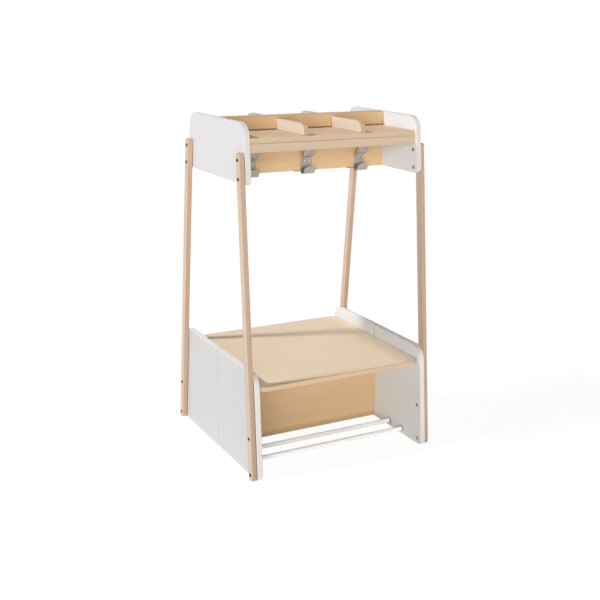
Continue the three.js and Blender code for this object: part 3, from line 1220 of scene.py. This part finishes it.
@dataclass
class SlantedPanel:
    """A white panel that leans in with the legs, in front or in front and behind.

    Args:
        low: height of its lower edge.
        high: height of its upper edge.
        eased: radius of its eased edges.
        back: where it ends towards the rear, or None if its rear is like its front.
        top_radius: of its upper corners.
        foot_radius: of its lower corners.
    """

    low: float
    high: float
    eased: float
    back: float | None = None
    top_radius: float = 0.050
    foot_radius: float = 0.018

    def shape(self, hand: Hand) -> Workpiece:
        """Shapes the panel.

        Args:
            hand: which side it is for.

        Returns:
            The panel in its place.
        """
        out = LAYOUT.half_span
        x0, x1 = sorted((hand.value * out, hand.value * (out - LAYOUT.panel)))
        foot, head = LAYOUT.slant(self.low), LAYOUT.slant(self.high)
        signs = (-1, 1) if self.back is None else (-1,)
        back = foot if self.back is None else self.back
        panel = Workpiece.block((x0, -foot, self.low), (x1, back, self.high))
        middle = (self.low + self.high) / 2
        for sign in signs:
            shift = (0, sign * (head - foot), 0)
            panel.slide(lambda v: v.co.z > middle and sign * v.co.y > foot / 2, shift)
        tops = [(sign * head, self.high) for sign in signs]
        feet = [(sign * foot, self.low) for sign in signs]
        panel.round_corners(Axis.X, tops, self.top_radius, steps=14)
        panel.round_corners(Axis.X, feet, self.foot_radius, steps=8)
        return panel.ease(self.eased).mark_edges(Axis.X)


@dataclass
class LowerBench:
    """The bench itself: four half side panels, the seat and the two boards under its middle.

    Args:
        seam: gap between the front and rear half of a side.
        panel_edge: radius of a side panel's edges.
        seat_top: height of the seat.
        seat_thick: thickness of the seat.
        seat_overhang: how far the seat stands proud of the panels.
        seat_corner: radius of its corners.
        seat_edge: radius of its edges.
        board_thick: thickness of a centre board.
        board_foot: its gap over the floor.
        board_edge: radius of its edges.
    """

    seam: float = 0.0016
    panel_edge: float = 0.0013
    seat_top: float = 0.325
    seat_thick: float = 0.018
    seat_overhang: float = 0.001
    seat_corner: float = 0.035
    seat_edge: float = 0.004
    board_thick: float = 0.018
    board_foot: float = 0.004
    board_edge: float = 0.001

    def side_panel(self, hand: Hand) -> Workpiece:
        """Shapes the front half of one side panel, with its face in the seam marked -1.

        Args:
            hand: which side it is for.

        Returns:
            The panel, in its place in front.
        """
        back = -self.seam / 2
        panel = SlantedPanel(0.0, LAYOUT.side_height, self.panel_edge, back).shape(hand)
        return panel.mark(lambda vertex, own: -1.0 if vertex.co.y > back - NEAR else own)

    def seat(self) -> Workpiece:
        """Shapes the seat board, rounded at its corners and along its edges.

        Returns:
            The board in its place.
        """
        x, y = LAYOUT.inside, LAYOUT.slant(self.seat_top) + self.seat_overhang
        board = Workpiece.block((-x, -y, self.seat_top - self.seat_thick), (x, y, self.seat_top))
        corners = list(product((-x, x), (-y, y)))
        board.round_corners(Axis.Z, corners, self.seat_corner, steps=12)
        return board.ease(self.seat_edge, steps=5).mark_edges(Axis.Z, band=0.004)

    def centre_board(self) -> Workpiece:
        """Shapes one board that closes the space under the seat.

        Returns:
            The board in its place in front.
        """
        x, back = LAYOUT.inside, -LAYOUT.joint / 2
        top = self.seat_top - self.seat_thick - LAYOUT.joint
        board = Workpiece.block((-x, back - self.board_thick, self.board_foot), (x, back, top))
        return board.ease(self.board_edge, steps=2).mark_edges(Axis.Y)

    def build(self) -> None:
        """Makes the panels, the seat and the boards and sets them in place."""
        for hand in Hand:
            panel = self.side_panel(hand)
            for end in End:
                panel.place(f"bench_side_{end.value}_{hand.label(end)}", WHITE, end.turn)
        seat, board = self.seat(), self.centre_board()
        seat.mark_grain(Axis.X, Axis.Y, Stock.SEAT)
        seat.place("seat", SEAT, nodes=["seat_board"])
        for number, end in enumerate(End):
            board.mark_grain(Axis.X, Axis.Z, Stock.CENTRE_BOARD, number)
            board.place(f"bench_centre_board_{end.value}", BOARD, end.turn)


@dataclass
class ShoeRails:
    """The white tubes under the seat, each with a collar at both ends.

    Args:
        radius: of the tube.
        tip: chamfer of its two ends.
        collar: radius of a collar.
        collar_thick: its thickness.
        collar_round: rings of its inner edge: in from its radius, and out from its face.
        fillet: between the collar and the tube.
        groove: width of the groove between collar and panel.
        neck: how far the groove lies in from the collar's radius.
        lip: chamfer of the collar's edge at the groove.
        height: of the tube's axis.
        offsets: from the middle of the bench, by the rail's name.
        socket: how far a tube's end goes into the panel.
        step: between two rings that look like one.
    """

    radius: float = 0.008
    tip: float = 0.0008
    collar: float = 0.012
    collar_thick: float = 0.004
    collar_round: Profile = ((0.0, 0.0011), (0.0004, 0.0004), (0.0012, 0.0))
    fillet: float = 0.0006
    groove: float = 0.0028
    neck: float = 0.0010
    lip: float = 0.0005
    height: float = 0.021
    offsets: tuple[tuple[str, float], ...] = (("outer", 0.210), ("inner", 0.126))
    socket: float = 0.008
    step: float = 0.0001

    def rail(self) -> Workpiece:
        """Turns one rail along Z, its middle at the origin, and marks collars and grooves.

        Returns:
            The rail.
        """
        wall = LAYOUT.inside
        end = wall + LAYOUT.joint + self.socket
        back, face = wall - self.collar_thick, wall - self.groove
        half = [
            (self.radius - self.tip, end),
            (self.radius, end - self.tip),
            (self.radius, wall),
            (self.collar - self.neck, wall),
            (self.collar - self.neck, face + self.step),
            (self.collar - self.lip, face),
            (self.collar, face - self.lip),
            *((self.collar - inwards, back + outwards) for inwards, outwards in self.collar_round),
            (self.radius + self.fillet, back),
            (self.radius, back - self.fillet),
        ]
        profile = [(r, -z) for r, z in half] + [(r, z) for r, z in reversed(half)]
        rail = Workpiece.turned(profile, 48)
        grooved, collared = face + self.step / 2, back - self.step

        def value(vertex: bpy.types.MeshVertex, own: float) -> float:
            """1 in the grooves, 0.5 on the collars and 0 on the tube."""
            height = abs(vertex.co.z)
            return 1.0 if height > grooved else 0.5 if height > collared else own

        return rail.mark(value)

    def build(self) -> None:
        """Makes the four rails."""
        rail = self.rail()
        lay = Matrix.Rotation(math.pi / 2, 4, "Y")
        for end, (row, offset) in product(End, self.offsets):
            spot = Matrix.Translation((0, -offset, self.height))
            rail.place(f"shoe_rail_{end.value}_{row}", RAIL, end.turn @ spot @ lay, SOFT)


@dataclass
class UpperUnit:
    """End panels, the board between them, and beside it two shelves with rails and dividers.

    Args:
        panel_edge: radius of an end panel's edges.
        board_thick: thickness of the middle board.
        shelf_drop: from the top down to the shelf.
        shelf_thick: thickness of the shelf.
        shelf_setback: of the shelf behind the slanting edge.
        rail_size: thickness and height of the rail under the shelf's edge.
        divider_thick: thickness of a divider.
        divider_height: its height.
        divider_setback: behind the edge of the shelf.
        divider_corner: radius of its upper front corner.
        board_edge: radius of the edges of all boards.
        bays: how many compartments a shelf has.
    """

    panel_edge: float = 0.0015
    board_thick: float = 0.036
    shelf_drop: float = 0.050
    shelf_thick: float = 0.018
    shelf_setback: float = 0.008
    rail_size: Span = (0.018, 0.030)
    divider_thick: float = 0.018
    divider_height: float = 0.040
    divider_setback: float = 0.002
    divider_corner: float = 0.032
    board_edge: float = 0.001
    bays: int = 3

    @property
    def shelf_top(self) -> float:
        """Height of the shelf's upper face."""
        return LAYOUT.top - self.shelf_drop

    @property
    def reach(self) -> float:
        """From the middle to the edge of the shelf."""
        return LAYOUT.slant(self.shelf_top) - self.shelf_setback

    @property
    def back(self) -> float:
        """From the middle to what stands against the middle board."""
        return self.board_thick / 2 + LAYOUT.joint

    @property
    def pitch(self) -> float:
        """From the middle of one compartment to the next."""
        inner = 2 * (LAYOUT.half_span - LAYOUT.panel)
        return (inner - (self.bays - 1) * self.divider_thick) / self.bays + self.divider_thick

    def bay(self, number: float) -> float:
        """Where a compartment has its middle. They are counted from 0 at the left."""
        return (number - (self.bays - 1) / 2) * self.pitch

    def middle_board(self) -> Workpiece:
        """Shapes the board that carries hooks and shelves.

        Returns:
            The board in its place.
        """
        x, y = LAYOUT.inside, self.board_thick / 2
        board = Workpiece.block((-x, -y, LAYOUT.end_foot), (x, y, LAYOUT.top))
        return board.ease(self.board_edge).mark_edges(Axis.Y)

    def shelf(self) -> Workpiece:
        """Shapes the front shelf.

        Returns:
            The shelf in its place.
        """
        x, low = LAYOUT.inside, self.shelf_top - self.shelf_thick
        board = Workpiece.block((-x, -self.reach, low), (x, -self.back, self.shelf_top))
        return board.ease(self.board_edge).mark_edges(Axis.Z)

    def edge_rail(self) -> Workpiece:
        """Shapes the rail under the front shelf's edge.

        Returns:
            The rail in its place.
        """
        thick, high = self.rail_size
        x, top = LAYOUT.inside, self.shelf_top - self.shelf_thick - LAYOUT.joint
        rail = Workpiece.block((-x, -self.reach, top - high), (x, thick - self.reach, top))
        return rail.ease(self.board_edge).mark_edges(Axis.Y)

    def divider(self) -> Workpiece:
        """Shapes a divider of the front shelf, in the middle of the bench.

        Returns:
            The divider.
        """
        half, foot = self.divider_thick / 2, self.shelf_top + LAYOUT.joint
        front, top = self.divider_setback - self.reach, foot + self.divider_height
        board = Workpiece.block((-half, front, foot), (half, -self.back, top))
        board.round_corners(Axis.X, [(front, top)], self.divider_corner, steps=12)
        return board.ease(self.board_edge).mark_edges(Axis.X)

    def build(self) -> None:
        """Makes the upper unit."""
        for hand in Hand:
            panel = SlantedPanel(LAYOUT.end_foot, LAYOUT.top, self.panel_edge).shape(hand)
            panel.place(f"upper_end_panel_{hand.name.lower()}", WHITE)
        middle, shelf, rail = self.middle_board(), self.shelf(), self.edge_rail()
        divider = self.divider()
        middle.mark_grain(Axis.X, Axis.Z, Stock.MIDDLE_BOARD)
        middle.place("hook_board", BOARD, nodes=["upper_centre_board"])
        for number, end in enumerate(End):
            shelf.mark_grain(Axis.X, Axis.Y, Stock.SHELF, number)
            shelf.place(f"shelf_{end.value}", SHELF, end.turn)
            rail.mark_grain(Axis.X, Axis.Z, Stock.EDGE_RAIL, number)
            rail.place(f"shelf_edge_rail_{end.value}", EDGE, end.turn)
            for bay in range(self.bays - 1):
                spot = Matrix.Translation((self.bay(bay + 0.5), 0, 0))
                divider.mark_grain(Axis.Y, Axis.Z, Stock.DIVIDER, 2 * number + bay)
                divider.place(f"divider_{end.value}_{bay + 1}", DIVIDER, end.turn @ spot)


@dataclass(frozen=True)
class Head:
    """The turned head of a fastener.

    Args:
        radius: of the head.
        height: how far it stands proud.
        chamfer: of its lower edge.
        dome: the rings over that edge, as shares of radius and height.
    """

    radius: float
    height: float
    chamfer: float
    dome: Profile

    @property
    def rings(self) -> list[Span]:
        """Radius and height of all its rings, from height 0 up."""
        foot = [(self.radius - self.chamfer, 0.0), (self.radius, self.chamfer)]
        return foot + [(r * self.radius, z * self.height) for r, z in self.dome]


@dataclass
class CoatHooks:
    """Coat hooks bent from a steel strip, three on each face of the board, with their screws.

    Args:
        upper: the unit that carries them.
        width: of the strip.
        sheet: its thickness.
        edge: radius of its edges.
        bend: radius of the middle line in a bend.
        drop: of the lowest point under the board.
        line: depth and height of the middle line's corners, from the back and the lowest point.
        tip_width: width of the two ends.
        tip_height: height over which the strip is drawn in.
        screw_gap: between a hook's two screws.
        screw_rise: of the screws over the lowest point.
        shank: rings of a screw's shank, from its point to the head.
        head: of a screw.
        slot: half length, half width and foot of each slot of the cross in it.
        bright: radius of the head's middle and where the painted shade on its rim starts.
    """

    upper: UpperUnit
    width: float = 0.044
    sheet: float = 0.003
    edge: float = 0.0005
    bend: float = 0.007
    drop: float = 0.010
    line: Profile = (
        (-0.0405, 0.031),
        (-0.022, 0.0015),
        (-0.0015, 0.0015),
        (-0.0015, 0.056),
        (-0.020, 0.067),
        (-0.0385, 0.098),
    )
    tip_width: float = 0.010
    tip_height: float = 0.010
    screw_gap: float = 0.019
    screw_rise: float = 0.046
    shank: Profile = ((0.0003, -0.0160), (0.0020, -0.0130), (0.0020, 0.0))
    head: Head = Head(
        0.0050, 0.0025, 0.0003, ((1.0, 0.36), (0.94, 0.6), (0.8, 0.8), (0.6, 0.92), (0.32, 1.0))
    )
    slot: tuple[float, float, float] = (0.0028, 0.0006, 0.0012)
    bright: Span = (0.0026, 0.0042)

    def path(self, steps: int = 8) -> list[Vector]:
        """Draws the strip's middle line, with a round in each bend and a point where a tip starts.

        Args:
            steps: how many steps a bend has.

        Returns:
            The points, from the lower tip to the upper one.
        """
        corners = [Vector((0, y, z)) for y, z in self.line]
        points = [corners[0], self.tip_start(corners[0], corners[1])]
        for before, corner, after in zip(corners, corners[1:], corners[2:]):
            arrive, leave = (before - corner).normalized(), (after - corner).normalized()
            half = arrive.angle(leave) / 2
            centre = corner + (arrive + leave).normalized() * (self.bend / math.sin(half))
            start = corner + arrive * (self.bend / math.tan(half)) - centre
            turn = (math.pi - 2 * half) * (-1 if arrive.cross(leave).x > 0 else 1)
            for step in range(steps + 1):
                points.append(centre + Matrix.Rotation(turn * step / steps, 3, "X") @ start)
        return points + [self.tip_start(corners[-1], corners[-2]), corners[-1]]

    def tip_start(self, tip: Vector, corner: Vector) -> Vector:
        """Where the strip starts to narrow on the way from a corner to a tip."""
        return tip.lerp(corner, self.tip_height / (tip.z - corner.z))

    def hook(self) -> Workpiece:
        """Bends one hook, with its back at depth 0 and its lowest point at height 0.

        Returns:
            The hook.
        """
        strip = Workpiece.bent_strip(self.path(), self.width, self.tip_width)
        strip.modify("SOLIDIFY", thickness=self.sheet, offset=0.0, use_even_offset=True)
        return strip.ease(self.edge, steps=2)

    def screw(self) -> Workpiece:
        """Turns one screw, cuts the cross into its head and marks where its rim takes painted
        shade.

        Returns:
            The screw, along Z, with its head on top of height 0.
        """
        screw = Workpiece.turned([*self.shank, *self.head.rings], 32)
        length, width, foot = self.slot
        top = self.head.height + CLEAR
        for x, y in ((length, width), (width, length)):
            screw.cut(Workpiece.block((-x, -y, foot), (x, y, top)))
        inner, outer = self.bright

        def value(vertex: bpy.types.MeshVertex, _: float) -> float:
            """1 in the middle and 0 on the rim."""
            return min(max((outer - vertex.co.xy.length) / (outer - inner), 0.0), 1.0)

        return screw.mark(value)

    def build(self) -> None:
        """Makes the hooks and screws of both faces."""
        hook, screw = self.hook(), self.screw()
        face, foot = -self.upper.back, LAYOUT.end_foot - self.drop
        out = face - self.sheet - LAYOUT.joint
        stand = Matrix.Rotation(math.pi / 2, 4, "X")
        for end, bay in product(End, range(self.upper.bays)):
            x = self.upper.bay(bay)
            spot = Matrix.Translation((x, face, foot))
            hook.place(f"hook_{end.value}_{bay + 1}", HOOK, end.turn @ spot, SOFT)
            for number, side in enumerate((-0.5, 0.5), 2 * bay + 1):
                spot = Matrix.Translation((x + side * self.screw_gap, out, foot + self.screw_rise))
                name = f"hook_screw_{end.value}_{number}"
                screw.place(name, SCREW, end.turn @ spot @ stand, angle=35.0)


@dataclass
class Legs:
    """The four leaning legs, each held by four bolts with a sleeve nut on the inner side.

    Args:
        width: of a leg, along the depth of the bench.
        thick: its thickness.
        end_radius: of its rounded ends.
        edge: radius of its edges.
        bolt_heights: of the four bolts.
        shank: radius of a bolt.
        chamfer: of a shank's end.
        head: of a bolt.
        socket: half width over the flats of the hexagon in it, and its depth.
        cap: of a sleeve nut.
    """

    width: float = 0.030
    thick: float = 0.018
    end_radius: float = 0.010
    edge: float = 0.002
    bolt_heights: tuple[float, ...] = (0.021, 0.148, 1.019, 1.081)
    shank: float = 0.003
    chamfer: float = 0.0004
    head: Head = Head(0.0055, 0.0026, 0.0004, ((1.0, 0.5), (0.95, 0.72), (0.84, 0.9), (0.68, 1.0)))
    socket: Span = (0.002, 0.0016)
    cap: Head = Head(0.0068, 0.0018, 0.0003, ((1.0, 0.45), (0.92, 0.75), (0.74, 0.93), (0.5, 1.0)))

    @property
    def lift(self) -> float:
        """How far the middle of a leaning leg's foot is over the floor."""
        flat = self.width / 2 - self.end_radius
        return flat * math.sin(LAYOUT.lean) + self.end_radius * (1 - math.cos(LAYOUT.lean))

    def centre(self, height: float) -> float:
        """Where a leg's middle line stands at a height, from the middle of the bench."""
        return LAYOUT.slant(height) - LAYOUT.leg_setback - self.width / math.cos(LAYOUT.lean) / 2

    def leg(self) -> Workpiece:
        """Shapes one leg, upright on the origin.

        Returns:
            The leg.
        """
        length = (LAYOUT.leg_top - 2 * self.lift) / math.cos(LAYOUT.lean)
        x, y = self.thick / 2, self.width / 2
        slat = Workpiece.block((-x, -y, 0.0), (x, y, length))
        corners = list(product((-y, y), (0.0, length)))
        slat.round_corners(Axis.X, corners, self.end_radius, steps=8)
        return slat.ease(self.edge, steps=4).mark_edges(Axis.X, band=0.002)

    def bolt(self) -> Workpiece:
        """Turns a bolt along Z, its head on top of height 0, and cuts its hexagon socket.

        Returns:
            The bolt.
        """
        shank = [
            (self.shank - self.chamfer, -self.thick),
            (self.shank, self.chamfer - self.thick),
            (self.shank, 0.0),
        ]
        bolt = Workpiece.turned([*shank, *self.head.rings], 36)
        half, depth = self.socket
        reach, top = half / math.cos(math.pi / 6), self.head.height
        bolt.cut(Workpiece.turned([(reach, top - depth), (reach, top + CLEAR)], 6))
        return bolt

    def sleeve_nut(self) -> Workpiece:
        """Turns a sleeve nut along Z, its cap on top of height 0."""
        sleeve = [(self.shank, self.chamfer - LAYOUT.panel), (self.shank, 0.0)]
        return Workpiece.turned([*sleeve, *self.cap.rings], 36)

    def build(self) -> None:
        """Makes the legs and their fasteners."""
        leg, bolt, nut = self.leg(), self.bolt(), self.sleeve_nut()
        face = LAYOUT.half_span + LAYOUT.joint
        lean = Matrix.Rotation(-LAYOUT.lean, 4, "X")
        for number, (end, hand) in enumerate(product(End, Hand)):
            side, label = hand.value, f"{end.value}_{hand.label(end)}"
            spot = (side * (face + self.thick / 2), -self.centre(self.lift), self.lift)
            leg.mark_grain(Axis.Z, Axis.Y, Stock.LEG, number)
            leg.place(f"leg_{label}", LEG, end.turn @ Matrix.Translation(spot) @ lean)
            for row, height in enumerate(self.bolt_heights, 1):
                y, out = -self.centre(height), face + LAYOUT.joint + self.thick
                quarter = Matrix.Rotation(side * math.pi / 2, 4, "Y")
                pose = end.turn @ Matrix.Translation((side * out, y, height)) @ quarter
                bolt.place(f"bolt_{label}_{row}", BOLT, pose, SOFT)
                spot = Matrix.Translation((side * LAYOUT.inside, y, height))
                pose = end.turn @ spot @ quarter.inverted()
                nut.place(f"sleeve_nut_{label}_{row}", CAP, pose, SOFT, nodes=())


@dataclass(frozen=True)
class Lamp:
    """A far lamp of the studio.

    Args:
        name: what it is called.
        strength: its light.
        stand: where it stands, as a direction from the bench.
        angle: how wide it looks, in degrees.
    """

    name: str
    strength: float
    stand: tuple[float, float, float]
    angle: float

    def hang(self) -> None:
        """Hangs the lamp."""
        data = bpy.data.lights.new(self.name, "SUN")
        data.energy = self.strength
        data.angle = math.radians(self.angle)
        lamp = bpy.data.objects.new(self.name, data)
        lamp.rotation_euler = Vector(self.stand).to_track_quat("Z", "Y").to_euler()
        bpy.context.collection.objects.link(lamp)


@dataclass
class Studio:
    """The pale floor, the lamps and the camera of the photograph.

    Args:
        fill: the light from all round.
        lamps: the key lamp on the left, the wide soft box in front, and softer light from the
            right and from behind.
        stand: the camera's place.
        aim: its yaw, pitch and roll in degrees.
        sensor: width of its sensor, in millimetres.
        lens: its focal length, in millimetres.
        drop: the lens shift that the framing needs.
        far: how far it sees.
        size: width of the floor.
        floor_tone: how bright the floor is for the light that falls on the bench.
        lift: light that the floor gives back to the bench from below.
        shown: how bright the floor looks to the camera.
        shade: how much of the floor's own shading the camera sees.
    """

    fill: float = 0.14
    lamps: tuple[Lamp, ...] = (
        Lamp("key", 2.20, (-0.716, 0.155, 0.747), 6.2),
        Lamp("soft_box", 4.09, (-0.45, -0.893, 0.0), 44.0),
        Lamp("side_light", 1.10, (0.99, 0.12, 0.05), 60.0),
        Lamp("back_light", 0.36, (0.30, 0.95, 0.05), 60.0),
    )
    stand: tuple[float, float, float] = (-1.68103, -3.11393, 1.52243)
    aim: tuple[float, float, float] = (28.2232, 13.3406, 0.6534)
    sensor: float = 36.0
    lens: float = 59.377
    drop: float = -0.075
    far: float = 60.0
    size: float = 16.0
    floor_tone: float = 0.93
    lift: float = 0.15
    shown: float = 1.04
    shade: float = 0.10

    def floor(self) -> None:
        """Lays a floor that looks white and keeps a soft shadow."""
        bpy.ops.object.select_all(action="DESELECT")
        bpy.ops.mesh.primitive_plane_add(size=self.size)
        ground = bpy.context.object
        ground.name = "studio_floor"
        material = bpy.data.materials.new("studio_floor")
        g = Graph(material)
        matt = g.node("BsdfDiffuse", {"Color": (*[self.floor_tone] * 3, 1.0)})
        lit = g.node("AddShader", {0: matt, 1: g.node("Emission", {"Strength": self.lift})})
        glow = g.node("Emission", {"Color": PURE, "Strength": self.shown})
        white = g.node("BsdfDiffuse", {"Color": PURE})
        seen = g.node("MixShader", {0: self.shade, 1: glow, 2: white})
        g.feed(g.surface, g.node("MixShader", {0: g.backdrop(), 1: lit, 2: seen}))
        ground.data.materials.append(material)

    def world(self) -> None:
        """Surrounds the bench with even light, white where the camera looks past it."""
        world = bpy.data.worlds.new("studio")
        bpy.context.scene.world = world
        g = Graph(world)
        level = g.span(g.backdrop(), 0.0, 1.0, self.fill, 1.0)
        g.feed(g.surface, g.node("Background", {"Color": PURE, "Strength": level}))

    def camera(self) -> None:
        """Sets the camera up where the photograph was taken."""
        yaw, pitch, roll = (math.radians(a) for a in self.aim)
        heading = Matrix.Rotation(-yaw, 4, "Z") @ Matrix.Rotation(math.pi / 2 - pitch, 4, "X")
        pose = Matrix.Translation(self.stand) @ heading @ Matrix.Rotation(roll, 4, "Z")
        data = bpy.data.cameras.new("photograph")
        data.sensor_width = self.sensor
        data.lens = self.lens
        data.shift_y = self.drop
        data.clip_end = self.far
        camera = bpy.data.objects.new("photograph", data)
        camera.matrix_world = pose
        bpy.context.collection.objects.link(camera)
        bpy.context.scene.camera = camera

    def build(self) -> None:
        """Makes the whole studio."""
        self.camera()
        self.floor()
        self.world()
        for lamp in self.lamps:
            lamp.hang()
        bpy.context.scene.view_settings.view_transform = "Standard"


def main() -> None:
    """Builds the studio and the bench, one sub-assembly after the other."""
    logging.basicConfig(level=logging.INFO, format="%(message)s")
    Studio().build()
    upper = UpperUnit()
    for assembly in (LowerBench(), ShoeRails(), upper, CoatHooks(upper), Legs()):
        assembly.build()
        Workpiece.clear_table()
        log.info("%s is done", type(assembly).__name__)
    log.info("%d pieces", Workpiece.count)


if __name__ == "__main__":
    main()
